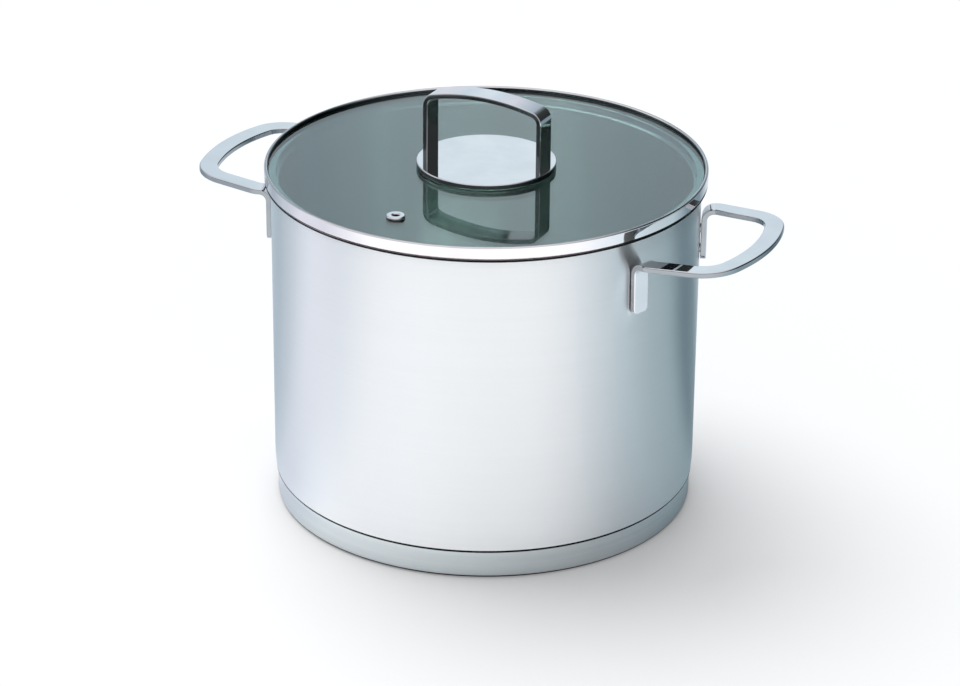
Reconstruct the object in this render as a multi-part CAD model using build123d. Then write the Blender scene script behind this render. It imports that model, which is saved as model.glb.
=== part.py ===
from build123d import *

import math
import os

# A 24 cm stainless steel stock pot with two side handles and a flat glass lid.
# Millimetres and degrees. +Z is up, the origin is on the axis of the pot where it stands,
# and the side handles lie along X.

# ---- pot shell --------------------------------------------------------------------
POT_HEIGHT = 192.2        # surface the pot stands on to the top of the pouring rim
WALL_R = 120.7            # outside of the wall
SHEET_T = 1.0             # steel of the wall, floor and rim
RIM_CURL_R = 2.5          # inside of the outward bend at the pouring rim
RIM_OUT = 3.3             # wall to the outer edge of the pouring rim
TURN_TOP_Z = 29.0         # where the wall starts to draw in towards the base
TURN_IN = 0.6             # how far the outside has drawn in at the base groove
TURN_IN_INSIDE = 2.2      # how far the inside has drawn in there

# ---- capsule base -----------------------------------------------------------------
BASE_BAND_H = 16.0        # height of the polished band round the foot
BASE_BAND_IN = 1.5        # the band lies this far inside the wall
GROOVE_H = 0.8            # open line between the band and the wall
CAP_T = 0.6               # magnetic steel skin
CAP_EDGE_R = 2.6          # rounding where the band meets the sole
CORE_T = 6.4              # aluminium under the floor
CORE_MARGIN = 3.0         # the core stops this far below the top of the band

# ---- side handles -----------------------------------------------------------------
PLATE_T = 3.2             # stamped steel strip
PLATE_W = 10.7
HANDLE_DROP = 13.4        # pouring rim down to the top of the arms, at the wall
HANDLE_REACH = 51.5       # wall to the outer edge of the grip
ARM_SPACING = 86.4        # between the middles of the arms, where they meet the grip
ARM_SPLAY = 5.5           # each arm leans in this much towards the grip
GRIP_ARC_R = 109.0        # the gentle bow of the grip's outer edge
GRIP_CORNER_R = 19.5      # middle line, between arm and grip
GRIP_TILT = 2.5           # the grip rises this much outwards
KNEE_R = 7.0              # middle line, where an arm turns to face its tab
BEND_LEAD = 2.0           # from that turn to the start of the bend
BEND_R = 4.0              # inside of the bend from arm to tab
TAB_DROP = 44.1           # pouring rim down to the lower end of a tab
TAB_CORNER_R = 3.5
PLATE_EDGE_R = 0.7        # rubbed-over edge of the plate
WELD_GAP = 0.5            # tab to wall, bridged by the weld nuggets
WELD_R = 2.6
WELD_PITCH = 12.0
WELD_BITE = 0.2           # a nugget is made this much too long, then trimmed by the tab

# ---- lid: glass and steel band ----------------------------------------------------
GLASS_T = 4.0
GLASS_CLEARANCE = 0.5     # round the glass, inside the band, filled by the seal
SEAL_SHORT = 0.4          # the seal stops this far below the top of the glass
BAND_OUT = 0.2            # the band stands out from the pouring rim by this
BAND_T = 1.9              # sheet folded double
BAND_RISE = 2.2           # glass to the rounded top of the band
BAND_GAP = 1.1            # open line between the band and the pouring rim, seen from outside
SEAT_IN = 1.2             # the rim touches the lid this far inside the band
HEM_W = 1.9               # folded lower edge that the lid stands on
LIP_EDGE_R = 0.9          # rounding along both sides of that top
LEDGE_H = 1.3             # pouring rim up to the shelf under the glass
LEDGE_T = 0.8
COLLAR_T = 0.8
COLLAR_GAP = 1.4          # collar to the inside of the wall
COLLAR_DEPTH = 4.4        # how far the collar hangs into the pot
COLLAR_BEAD_W = 2.4       # rolled foot of the collar
COLLAR_BEAD_T = 1.2
COLLAR_BEAD_EDGE_R = 0.5

# ---- lid: bridge handle -----------------------------------------------------------
DISC_R = 39.2
DISC_T = 3.2
DISC_EDGE_R = 0.5
BRIDGE_L = 73.2           # over both legs
BRIDGE_W = 14.0
BRIDGE_H = 39.2           # disc to the crown
BRIDGE_T = 2.9
BRIDGE_ARC_R = 127.0      # the gentle arch of the top
BRIDGE_CORNER_R = 7.0
BRIDGE_EDGE_R = 0.6
DISC_GASKET_T = 0.5
DISC_GASKET_MARGIN = 1.6  # the gasket stops this far inside the disc

# ---- lid: fastening through the glass ---------------------------------------------
THREAD_R = 2.5            # M5
THREAD_CLEARANCE = 0.05
BOSS_R = 5.0
BOSS_SHORT = 0.4          # boss ends this far above the lower face of the glass
GLASS_HOLE_CLEARANCE = 0.5
INNER_GASKET_R = 14.0
INNER_GASKET_T = 1.5
WASHER_R = 12.0
WASHER_T = 1.2
WASHER_HOLE_CLEARANCE = 0.3
LOCK_WASHER_R = 4.6
LOCK_WASHER_T = 1.2
LOCK_WASHER_SLOT = 0.8
SCREW_HEAD_R = 4.75
SCREW_HEAD_H = 3.0
SCREW_HEAD_EDGE_R = 1.0
SCREW_SOCKET_AF = 3.0     # hexagon socket across flats
SCREW_SOCKET_DEPTH = 1.6
SCREW_TIP_GAP = 0.6       # screw end to the disc

# ---- lid: steam vent --------------------------------------------------------------
VENT_IN = 30.0            # edge of the glass to the middle of the vent
VENT_ANGLE = -95.5        # round the lid from +X
VENT_HOLE_R = 2.0
VENT_TUBE_R = 3.2
VENT_HOLE_CLEARANCE = 0.3
VENT_FLANGE_R = 5.3
VENT_FLANGE_T = 1.7
VENT_FLANGE_EDGE_R = 0.75
VENT_FOOT_R = 4.7
VENT_FOOT_T = 0.8
VENT_WASHER_T = 0.6

# ---- worked-out sizes -------------------------------------------------------------
WALL_IN_R = WALL_R - SHEET_T
RIM_R = WALL_R + RIM_OUT
BASE_BAND_R = WALL_R - BASE_BAND_IN
GROOVE_TOP_Z = BASE_BAND_H + GROOVE_H
SHELL_BOTTOM_Z = CAP_T + CORE_T
FLOOR_Z = SHELL_BOTTOM_Z + SHEET_T
CAP_IN_R = BASE_BAND_R - CAP_T
CURL_CENTRE_R = WALL_IN_R + RIM_CURL_R
HANDLE_TOP_Z = POT_HEIGHT - HANDLE_DROP
BEND_Z = HANDLE_TOP_Z - PLATE_T - BEND_R
TAB_BOTTOM_Z = POT_HEIGHT - TAB_DROP
TAB_IN_R = WALL_R + WELD_GAP
TAB_OUT_R = TAB_IN_R + PLATE_T
BEND_END_R = TAB_OUT_R + BEND_R
GLASS_BOTTOM_Z = POT_HEIGHT + LEDGE_H
GLASS_TOP_Z = GLASS_BOTTOM_Z + GLASS_T
LID_R = RIM_R + BAND_OUT
BAND_IN_R = LID_R - BAND_T
GLASS_R = BAND_IN_R - GLASS_CLEARANCE
DISC_BOTTOM_Z = GLASS_TOP_Z + DISC_GASKET_T
DISC_TOP_Z = DISC_BOTTOM_Z + DISC_T
WASHER_BOTTOM_Z = GLASS_BOTTOM_Z - INNER_GASKET_T - WASHER_T
HEAD_TOP_Z = WASHER_BOTTOM_Z - LOCK_WASHER_T
BIG = 4 * POT_HEIGHT      # larger than anything here, for trimming
SMOOTH_ANGLE = 5.0        # faces that meet at less than this are one smooth surface
TOUCH = 0.001             # points closer than this are the same point


def ring(outer_r, inner_r, bottom_z, height):
    """A flat ring round the Z axis, from bottom_z up."""
    solid = Cylinder(outer_r, height) - Cylinder(inner_r, height)
    return Pos(0, 0, bottom_z + height / 2) * solid


def spun(*edges):
    """The solid that a closed outline in the XZ plane sweeps round the Z axis."""
    return revolve(make_face(list(edges)), Axis.Z)


def sharp_edges(solid):
    """The edges of a solid where its faces meet at an angle, without the seams of smooth bends."""
    sharp = []
    for edge in solid.edges():
        middle = edge @ 0.5
        sides = [face for face in solid.faces() if any(edge.is_same(other) for other in face.edges())]
        normals = [face.normal_at(middle) for face in sides]
        if len(normals) == 2 and normals[0].get_angle(normals[1]) > SMOOTH_ANGLE:
            sharp.append(edge)
    return sharp


# ---- pot --------------------------------------------------------------------------
def wall_turn(top_r, drawn_in):
    """The slow inward turn of the wall above the base, from the top down."""
    return TangentArc((top_r, 0, TURN_TOP_Z), (top_r - drawn_in, 0, GROOVE_TOP_Z), tangent=(0, 0, -1))


def pot_shell():
    """Deep-drawn shell: flat floor, straight wall, rim curled outwards for pouring."""
    curl_z = POT_HEIGHT - RIM_CURL_R
    out_turn = wall_turn(WALL_R, TURN_IN)
    in_turn = wall_turn(WALL_IN_R, TURN_IN_INSIDE)
    corner_r = GROOVE_TOP_Z - SHELL_BOTTOM_Z
    lean = (in_turn % 1).X
    floor_turn_r = (GROOVE_TOP_Z - FLOOR_Z) / (1 + lean)
    floor_start_r = (in_turn @ 1).X - floor_turn_r * math.sqrt(1 - lean ** 2)
    in_corner = TangentArc(in_turn @ 1, (floor_start_r, 0, FLOOR_Z), tangent=in_turn % 1)
    out_corner = TangentArc(
        (CAP_IN_R, 0, GROOVE_TOP_Z), (CAP_IN_R - corner_r, 0, SHELL_BOTTOM_Z), tangent=(0, 0, -1)
    )
    in_curl = TangentArc((WALL_IN_R, 0, curl_z), (CURL_CENTRE_R, 0, POT_HEIGHT), tangent=(0, 0, 1))
    out_curl = TangentArc(
        (WALL_R, 0, curl_z), (CURL_CENTRE_R, 0, POT_HEIGHT - SHEET_T), tangent=(0, 0, 1)
    )
    return spun(
        in_corner,
        in_turn,
        Line(in_turn @ 0, in_curl @ 0),
        in_curl,
        Polyline(in_curl @ 1, (RIM_R, 0, POT_HEIGHT), (RIM_R, 0, POT_HEIGHT - SHEET_T), out_curl @ 1),
        out_curl,
        Line(out_curl @ 0, out_turn @ 0),
        out_turn,
        Line(out_turn @ 1, out_corner @ 0),
        out_corner,
        Polyline(out_corner @ 1, (0, 0, SHELL_BOTTOM_Z), (0, 0, FLOOR_Z), in_corner @ 1),
    )


def base_cap():
    """Magnetic steel capsule: the sole the pot stands on and the band round its foot."""
    cup = Pos(0, 0, BASE_BAND_H / 2) * Cylinder(BASE_BAND_R, BASE_BAND_H)
    cup = fillet(cup.edges().group_by(Axis.Z)[0], CAP_EDGE_R)
    hollow_h = BASE_BAND_H - CAP_T
    hollow = Pos(0, 0, CAP_T + hollow_h / 2) * Cylinder(CAP_IN_R, hollow_h)
    return cup - fillet(hollow.edges().group_by(Axis.Z)[0], CAP_EDGE_R - CAP_T)


def base_core():
    """Aluminium between the capsule and the floor, pressed up round the corner of the shell."""
    height = BASE_BAND_H - CORE_MARGIN - CAP_T
    core = Pos(0, 0, CAP_T + height / 2) * Cylinder(CAP_IN_R, height)
    core = fillet(core.edges().group_by(Axis.Z)[0], CAP_EDGE_R - CAP_T)
    shell_h = POT_HEIGHT - SHELL_BOTTOM_Z
    shell = Pos(0, 0, SHELL_BOTTOM_Z + shell_h / 2) * Cylinder(CAP_IN_R, shell_h)
    corner_r = GROOVE_TOP_Z - SHELL_BOTTOM_Z
    return core - fillet(shell.edges().group_by(Axis.Z)[0], corner_r)


# ---- side handles -----------------------------------------------------------------
def arm_corner():
    """Where the middle line of an arm meets the middle line of the bowed grip."""
    bow_r = GRIP_ARC_R - PLATE_W / 2
    centre_x = WALL_R + HANDLE_REACH - GRIP_ARC_R
    return Vector(centre_x + math.sqrt(bow_r ** 2 - (ARM_SPACING / 2) ** 2), ARM_SPACING / 2)


def tab_angle():
    """The direction of a tab from the pot's axis, so that its middle meets the middle of the arm."""
    splay = math.radians(ARM_SPLAY)
    corner = arm_corner()
    arm_offset = corner.Y * math.cos(splay) + corner.X * math.sin(splay)
    return math.degrees(math.asin(arm_offset / (BEND_END_R + BEND_LEAD))) - ARM_SPLAY


def middle_line():
    """The middle of a handle's strip in plan: tab, arm, bowed grip, arm, tab."""
    angle = math.radians(tab_angle())
    corner = arm_corner()
    knee_r = BEND_END_R + BEND_LEAD
    knee = Vector(knee_r * math.cos(angle), knee_r * math.sin(angle))
    start = knee * (WALL_R / knee_r)
    grip = (WALL_R + HANDLE_REACH - PLATE_W / 2, 0)
    line = Polyline(start, knee, corner)
    far_line = Polyline(*[(point.X, -point.Y) for point in (corner, knee, start)])
    wire = Wire([*line.edges(), ThreePointArc(corner, grip, far_line @ 0), *far_line.edges()])
    knees = wire.vertices().filter_by(lambda v: abs(v.X - knee.X) < TOUCH)
    wire = wire.fillet_2d(KNEE_R, knees)
    corners = wire.vertices().filter_by(lambda v: abs(v.X - corner.X) < TOUCH)
    return wire.fillet_2d(GRIP_CORNER_R, corners)


def grip_plate():
    """The flat part of a handle, cut off square where each arm starts to bend."""
    outline = offset(middle_line(), PLATE_W / 2, side=Side.BOTH)
    plate = Pos(0, 0, HANDLE_TOP_Z - PLATE_T) * extrude(make_face(outline), PLATE_T)
    for angle in (tab_angle(), -tab_angle()):
        waste = Pos(BEND_END_R / 2, 0, HANDLE_TOP_Z) * Box(BEND_END_R, 2 * PLATE_W, BIG)
        plate -= Rot(0, 0, angle) * waste
    return plate


def tab_lean():
    """How much a tab leans in under the flat grip, so that it stands upright once the grip is tilted."""
    return math.degrees(math.atan(math.tan(math.radians(GRIP_TILT)) * math.cos(math.radians(tab_angle()))))


def tab_with_bend():
    """One tab and its bend, facing +X: down along the wall, then turned outwards."""
    lean = math.radians(tab_lean())
    out = Vector(math.cos(lean), 0, -math.sin(lean))
    down = Vector(-math.sin(lean), 0, -math.cos(lean))
    bend_centre = Vector(BEND_END_R, 0, BEND_Z)
    tab_in = bend_centre - out * (BEND_R + PLATE_T)
    tab_out = bend_centre - out * BEND_R
    length = (bend_centre.Z - TAB_BOTTOM_Z) / math.cos(lean)
    inside = TangentArc(bend_centre + Vector(0, 0, BEND_R), tab_out, tangent=(-1, 0, 0))
    outside = TangentArc(bend_centre + Vector(0, 0, BEND_R + PLATE_T), tab_in, tangent=(-1, 0, 0))
    foot = Polyline(tab_out, tab_out + down * length, tab_in + down * length, tab_in)
    profile = make_face([inside, foot, outside, Line(inside @ 0, outside @ 0)])
    tab = extrude(profile, PLATE_W / 2, both=True, dir=(0, 1, 0))
    corners = tab.edges().filter_by(lambda edge: (edge % 0.5).cross(out).length < TOUCH)
    return fillet(corners.group_by(Axis.Z)[0], TAB_CORNER_R)


def side_handle():
    """The handle on the +X side, in one piece."""
    handle = grip_plate()
    for angle in (tab_angle(), -tab_angle()):
        handle += Rot(0, 0, angle) * tab_with_bend()
    handle = fillet(sharp_edges(handle), PLATE_EDGE_R)
    pivot = Pos(TAB_IN_R * math.cos(math.radians(tab_angle())), 0, BEND_Z)
    return pivot * Rot(0, -GRIP_TILT, 0) * pivot.inverse() * handle


def handle_welds(handle):
    """Weld nuggets between the two tabs of the +X handle and the wall."""
    middle_z = (TAB_BOTTOM_Z + BEND_Z) / 2
    pot = Pos(0, 0, middle_z) * Cylinder(WALL_R, BIG)
    stub_l = 2 * (WELD_GAP + WELD_BITE)
    nuggets = []
    for angle in (tab_angle(), -tab_angle()):
        for z in (middle_z - WELD_PITCH / 2, middle_z + WELD_PITCH / 2):
            stub = Pos(WALL_R, 0, z) * Rot(0, 90, 0) * Cylinder(WELD_R, stub_l)
            nuggets.append(Rot(0, 0, angle) * stub - pot - handle)
    return nuggets


def opposite(shape):
    """The same piece on the -X side."""
    return Rot(0, 0, 180) * shape


# ---- lid --------------------------------------------------------------------------
def lid_glass():
    """Flat tempered glass with holes for the handle's boss and the vent."""
    glass = ring(GLASS_R, BOSS_R + GLASS_HOLE_CLEARANCE, GLASS_BOTTOM_Z, GLASS_T)
    vent_hole = Cylinder(VENT_TUBE_R + VENT_HOLE_CLEARANCE, BIG)
    return glass - at_vent(vent_hole)


def glass_seal():
    """Silicone bead between the edge of the glass and the band."""
    return ring(BAND_IN_R, GLASS_R, GLASS_BOTTOM_Z, GLASS_T - SEAL_SHORT)


def lid_rim():
    """Steel band round the glass, with a shelf under it and a collar that guides the lid."""
    band_top = GLASS_TOP_Z + BAND_RISE
    collar_r = WALL_IN_R - COLLAR_GAP
    collar_in_r = collar_r - COLLAR_T
    bead_in_r = collar_r - COLLAR_BEAD_W
    foot_z = POT_HEIGHT - COLLAR_DEPTH
    ledge_under = GLASS_BOTTOM_Z - LEDGE_T
    outline = Polyline(
        (LID_R, 0, POT_HEIGHT + BAND_GAP),
        (LID_R, 0, band_top),
        (BAND_IN_R, 0, band_top),
        (BAND_IN_R, 0, GLASS_BOTTOM_Z),
        (collar_in_r, 0, GLASS_BOTTOM_Z),
        (collar_in_r, 0, foot_z + COLLAR_BEAD_T),
        (bead_in_r, 0, foot_z + COLLAR_BEAD_T),
        (bead_in_r, 0, foot_z),
        (collar_r, 0, foot_z),
        (collar_r, 0, ledge_under),
        (LID_R - HEM_W, 0, ledge_under),
        (LID_R - HEM_W, 0, POT_HEIGHT),
        (LID_R - SEAT_IN, 0, POT_HEIGHT),
        close=True,
    )
    section = make_face(outline)
    lip = section.vertices().group_by(Axis.Z)[-1]
    section = fillet(lip, LIP_EDGE_R)
    bead = section.vertices().filter_by(lambda v: abs(v.X - bead_in_r) < TOUCH)
    section = fillet(bead, COLLAR_BEAD_EDGE_R)
    return revolve(section, Axis.Z)


def lid_disc():
    """Polished disc that carries the bridge handle."""
    disc = Pos(0, 0, DISC_BOTTOM_Z + DISC_T / 2) * Cylinder(DISC_R, DISC_T)
    return fillet(disc.edges(), DISC_EDGE_R)


def arch(half_l, height, arc_r, corner_r):
    """Upright face of an arch that stands on the disc."""
    block = Pos(0, height / 2) * Rectangle(2 * half_l, height)
    block &= Pos(0, height - arc_r) * Circle(arc_r)
    return fillet(block.vertices().group_by(Axis.Y)[-1], corner_r)


def lid_handle():
    """Bridge handle: one flat strap bent into a low arch on two legs."""
    half_l = BRIDGE_L / 2
    outer = arch(half_l, BRIDGE_H, BRIDGE_ARC_R, BRIDGE_CORNER_R)
    inner = arch(
        half_l - BRIDGE_T, BRIDGE_H - BRIDGE_T, BRIDGE_ARC_R - BRIDGE_T, BRIDGE_CORNER_R - BRIDGE_T
    )
    strap = extrude(Plane.XZ * (outer - inner), BRIDGE_W / 2, both=True)
    long_edges = strap.edges().filter_by(lambda e: abs(abs(e.center().Y) - BRIDGE_W / 2) < BRIDGE_EDGE_R)
    long_edges = long_edges.filter_by(lambda e: e.center().Z > BRIDGE_EDGE_R)
    return Pos(0, 0, DISC_TOP_Z) * fillet(long_edges, BRIDGE_EDGE_R)


def disc_gasket():
    """Thin silicone sheet between the disc and the glass."""
    return ring(DISC_R - DISC_GASKET_MARGIN, BOSS_R + GLASS_HOLE_CLEARANCE, GLASS_TOP_Z, DISC_GASKET_T)


def lid_boss():
    """Threaded boss welded under the disc, through the hole in the glass."""
    bottom_z = GLASS_BOTTOM_Z + BOSS_SHORT
    return ring(BOSS_R, THREAD_R, bottom_z, DISC_BOTTOM_Z - bottom_z)


def inner_gasket():
    """Silicone washer under the glass."""
    hole_r = THREAD_R + WASHER_HOLE_CLEARANCE
    return ring(INNER_GASKET_R, hole_r, GLASS_BOTTOM_Z - INNER_GASKET_T, INNER_GASKET_T)


def lid_washer():
    """Steel washer that spreads the screw's pull."""
    return ring(WASHER_R, THREAD_R + WASHER_HOLE_CLEARANCE, WASHER_BOTTOM_Z, WASHER_T)


def lid_lock_washer():
    """Split ring under the screw head."""
    washer = ring(LOCK_WASHER_R, THREAD_R + WASHER_HOLE_CLEARANCE, HEAD_TOP_Z, LOCK_WASHER_T)
    slot = Pos(LOCK_WASHER_R, 0, HEAD_TOP_Z) * Box(2 * LOCK_WASHER_R, LOCK_WASHER_SLOT, BIG)
    return washer - slot


def lid_screw():
    """M5 screw with a round head and a hexagon socket, driven up from inside the pot."""
    head = Pos(0, 0, HEAD_TOP_Z - SCREW_HEAD_H / 2) * Cylinder(SCREW_HEAD_R, SCREW_HEAD_H)
    head = fillet(head.edges().group_by(Axis.Z)[0], SCREW_HEAD_EDGE_R)
    shank_h = DISC_BOTTOM_Z - SCREW_TIP_GAP - HEAD_TOP_Z
    shank = Pos(0, 0, HEAD_TOP_Z + shank_h / 2) * Cylinder(THREAD_R - THREAD_CLEARANCE, shank_h)
    socket = extrude(RegularPolygon(SCREW_SOCKET_AF / 2, 6, major_radius=False), SCREW_SOCKET_DEPTH)
    return head + shank - Pos(0, 0, HEAD_TOP_Z - SCREW_HEAD_H) * socket


def at_vent(shape):
    """A shape made on the Z axis, moved to the vent."""
    return Rot(0, 0, VENT_ANGLE) * Pos(GLASS_R - VENT_IN, 0, 0) * shape


def vent_eyelet():
    """Steam vent: a steel eyelet with a round collar on top and a flat foot below."""
    foot_z = GLASS_BOTTOM_Z - VENT_WASHER_T - VENT_FOOT_T
    top_z = GLASS_TOP_Z + VENT_FLANGE_T
    collar = Pos(0, 0, top_z - VENT_FLANGE_T / 2) * Cylinder(VENT_FLANGE_R, VENT_FLANGE_T)
    collar = fillet(collar.edges(), VENT_FLANGE_EDGE_R)
    tube = Pos(0, 0, (top_z + foot_z) / 2) * Cylinder(VENT_TUBE_R, top_z - foot_z)
    foot = Pos(0, 0, foot_z + VENT_FOOT_T / 2) * Cylinder(VENT_FOOT_R, VENT_FOOT_T)
    eyelet = collar + tube + foot - Pos(0, 0, top_z) * Cylinder(VENT_HOLE_R, BIG)
    mouth = eyelet.edges().filter_by(GeomType.CIRCLE).filter_by(lambda e: e.radius < VENT_HOLE_R + TOUCH)
    return at_vent(fillet(mouth.group_by(Axis.Z)[-1], VENT_FLANGE_EDGE_R))


def vent_washer():
    """Silicone washer between the eyelet's foot and the glass."""
    return at_vent(ring(VENT_FOOT_R, VENT_TUBE_R, GLASS_BOTTOM_Z - VENT_WASHER_T, VENT_WASHER_T))


def build():
    """Every piece by the name of its node."""
    handle = side_handle()
    welds = handle_welds(handle)
    return {
        "pot_shell": pot_shell(),
        "base_core": base_core(),
        "base_cap": base_cap(),
        "side_handle_right": handle,
        "side_handle_left": opposite(handle),
        "handle_welds_right": Compound(children=welds),
        "handle_welds_left": Compound(children=[opposite(weld) for weld in welds]),
        "lid_glass": lid_glass(),
        "glass_seal": glass_seal(),
        "lid_rim": lid_rim(),
        "lid_disc": lid_disc(),
        "lid_handle": lid_handle(),
        "disc_gasket": disc_gasket(),
        "lid_boss": lid_boss(),
        "inner_gasket": inner_gasket(),
        "lid_washer": lid_washer(),
        "lid_lock_washer": lid_lock_washer(),
        "lid_screw": lid_screw(),
        "vent_eyelet": vent_eyelet(),
        "vent_washer": vent_washer(),
    }


os.makedirs("parts", exist_ok=True)
for name, shape in build().items():
    export_step(shape, f"parts/{name}.step")
    print(f"{name:20s} {shape.volume:12.1f} mm3")
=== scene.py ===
"""Looks of a 24 cm stainless steel stock pot with loop side handles and a flat glass lid.

Lengths are millimetres until a mesh is written. It is written in metres, in the frame of the
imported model.
"""

import logging
import math
from dataclasses import dataclass, replace
from enum import Enum
from typing import Any, Sequence

import bmesh
import bpy
from mathutils import Matrix, Vector


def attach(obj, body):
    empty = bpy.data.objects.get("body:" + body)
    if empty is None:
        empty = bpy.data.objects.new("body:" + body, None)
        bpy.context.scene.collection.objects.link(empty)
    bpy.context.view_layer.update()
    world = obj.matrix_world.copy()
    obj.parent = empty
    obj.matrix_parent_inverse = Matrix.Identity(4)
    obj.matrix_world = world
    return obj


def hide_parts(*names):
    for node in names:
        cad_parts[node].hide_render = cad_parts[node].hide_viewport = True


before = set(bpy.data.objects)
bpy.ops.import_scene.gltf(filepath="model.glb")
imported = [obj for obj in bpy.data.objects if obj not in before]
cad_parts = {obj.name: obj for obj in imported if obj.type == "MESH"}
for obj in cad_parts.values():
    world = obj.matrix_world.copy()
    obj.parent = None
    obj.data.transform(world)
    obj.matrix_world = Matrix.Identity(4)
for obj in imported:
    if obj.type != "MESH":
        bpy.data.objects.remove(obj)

log = logging.getLogger("stock_pot")

MM = 0.001
WALL_R, RIM_Z, GLASS_T = 120.7, 192.2, 4.0  # sizes that several sub-assemblies share
TOUCH = 1e-4  # points nearer than this are one point
PLACES = 4  # decimals that tell two lengths apart
HOLD = 0.15  # a row of vertices this far from each rounding keeps the flat beside it flat
FACETS = 288  # steps round the pot
SHARP = math.radians(32)  # edges that turn by more than this are drawn as sharp
SIDEWAYS = 0.85  # cosine within which a face of a strip counts as its narrow side, which gets a darker finish of painted shade
EDGE_STEPS = 4  # straight pieces in a rounding of a fraction of a millimetre
SMALL_STEPS = 6  # in a rounding of about a millimetre
BEND_STEPS = 10  # in a bend of the sheet
CORNER_STEPS = 14  # in the corner between wall and floor
GRAIN_SPAN = {"From Min": 0.3, "From Max": 0.7}  # a noise stays between about these values
WHITE = "#FFFFFF"
UP = Vector((0, 0, 1))

Tree, Node, Socket = bpy.types.NodeTree, bpy.types.Node, bpy.types.NodeSocket
Piece = bpy.types.Object
Point = tuple[float, float]
Course = list[tuple[Vector, Vector]]  # points of a line, and the way it goes there
Surround = tuple[tuple[float, str], ...]  # degrees from +X, anticlockwise, and the colour there


# ---- colours and nodes ----
def linear(hex_colour: str) -> tuple[float, float, float, float]:
    """Turn an sRGB hex colour into the linear colour that shaders take.

    Args:
        hex_colour: six hex digits with a leading #.

    Returns:
        Red, green, blue and an alpha of 1.
    """
    parts = [int(hex_colour[place:place + 2], 16) / 255 for place in (1, 3, 5)]
    red, green, blue = (c / 12.92 if c <= 0.04045 else ((c + 0.055) / 1.055) ** 2.4 for c in parts)
    return red, green, blue, 1.0


def fresh_tree(owner: bpy.types.Material | bpy.types.World) -> Tree:
    """Empty the node tree of a material or a world.

    Args:
        owner: what the tree belongs to.

    Returns:
        Its tree, without nodes.
    """
    owner.use_nodes = True
    owner.node_tree.nodes.clear()
    return owner.node_tree


def add_node(
    tree: Tree,
    kind: str,
    inputs: dict[str | int, Any] | None = None,
    stops: Sequence[tuple[float, str]] = (),
    **settings: Any,
) -> Node:
    """Add one node with its settings, values and links.

    Args:
        tree: the node tree that gets the node.
        kind: the type name without its ShaderNode prefix.
        inputs: socket name or index to a plain value, an output socket, or a node, which stands
            for its first output.
        stops: places and hex colours in order, for a colour ramp.
        **settings: attributes set on the node itself.

    Returns:
        The new node.
    """
    node = tree.nodes.new("ShaderNode" + kind)
    for name, value in settings.items():
        setattr(node, name, value)
    if stops:
        ramp = node.color_ramp.elements
        ramp.remove(ramp[1])  # a new ramp has two stops
        for number, (place, colour) in enumerate(stops):
            stop = ramp.new(place) if number else ramp[0]
            stop.position, stop.color = place, linear(colour)
    for socket, value in (inputs or {}).items():
        if isinstance(value, (Node, Socket)):
            source = value.outputs[0] if isinstance(value, Node) else value
            tree.links.new(source, node.inputs[socket])
        else:
            node.inputs[socket].default_value = value
    return node


# ---- finishes ----
@dataclass(frozen=True)
class Blank:
    """A material that waits for its finish."""

    tree: Tree
    place: Socket  # position in the model, in metres
    shader: Node
    out: Node


@dataclass(frozen=True)
class Finish:
    """What every finish shares: a named node material with one principled shader.

    A grain leads its colour and its roughness from the first to the second of two values.
    """

    name: str
    colours: tuple[str, str]
    roughness: tuple[float, float]
    metallic: float = 1.0

    def material(self) -> bpy.types.Material:
        """Make the material, or give the one that was made before.

        Returns:
            The material with its nodes in place.
        """
        made = bpy.data.materials.get(self.name)
        if made is not None:
            return made
        made = bpy.data.materials.new(self.name)
        tree = fresh_tree(made)
        place = add_node(tree, "TexCoord").outputs["Object"]
        shader = add_node(tree, "BsdfPrincipled", {"Metallic": self.metallic})
        out = add_node(tree, "OutputMaterial", {"Surface": shader})
        self.dress(Blank(tree, place, shader, out))
        return made

    def dress(self, blank: Blank) -> None:
        """Drive the shader's colour, roughness and bump.

        Args:
            blank: the nodes to work on.
        """
        raise NotImplementedError

    def vary(
        self,
        blank: Blank,
        grain: Node,
        relief: Node,
        relief_mm: float,
        scratches: Node | None = None,
    ) -> None:
        """Lead colour and roughness by a grain, and raise a relief.

        Args:
            blank: the nodes to work on.
            grain: what colour and roughness follow.
            relief: what the bump follows.
            relief_mm: how high the relief stands.
            scratches: roughness to add to the grain's.
        """
        tree = blank.tree
        share, rough = (
            add_node(
                tree, "MapRange", {"Value": grain, **GRAIN_SPAN, "To Min": first, "To Max": second}
            )
            for first, second in ((0.0, 1.0), self.roughness)
        )
        if scratches is not None:
            rough = add_node(tree, "Math", {0: rough, 1: scratches}, operation="ADD")
        first, second = (linear(colour) for colour in self.colours)
        tint = add_node(tree, "MixRGB", {"Fac": share, 1: first, 2: second})
        bump = add_node(
            tree, "Bump", {"Height": relief, "Distance": relief_mm * MM, "Strength": 1.0}
        )
        for node, socket in ((tint, "Base Color"), (rough, "Roughness"), (bump, "Normal")):
            tree.links.new(node.outputs[0], blank.shader.inputs[socket])


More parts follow.
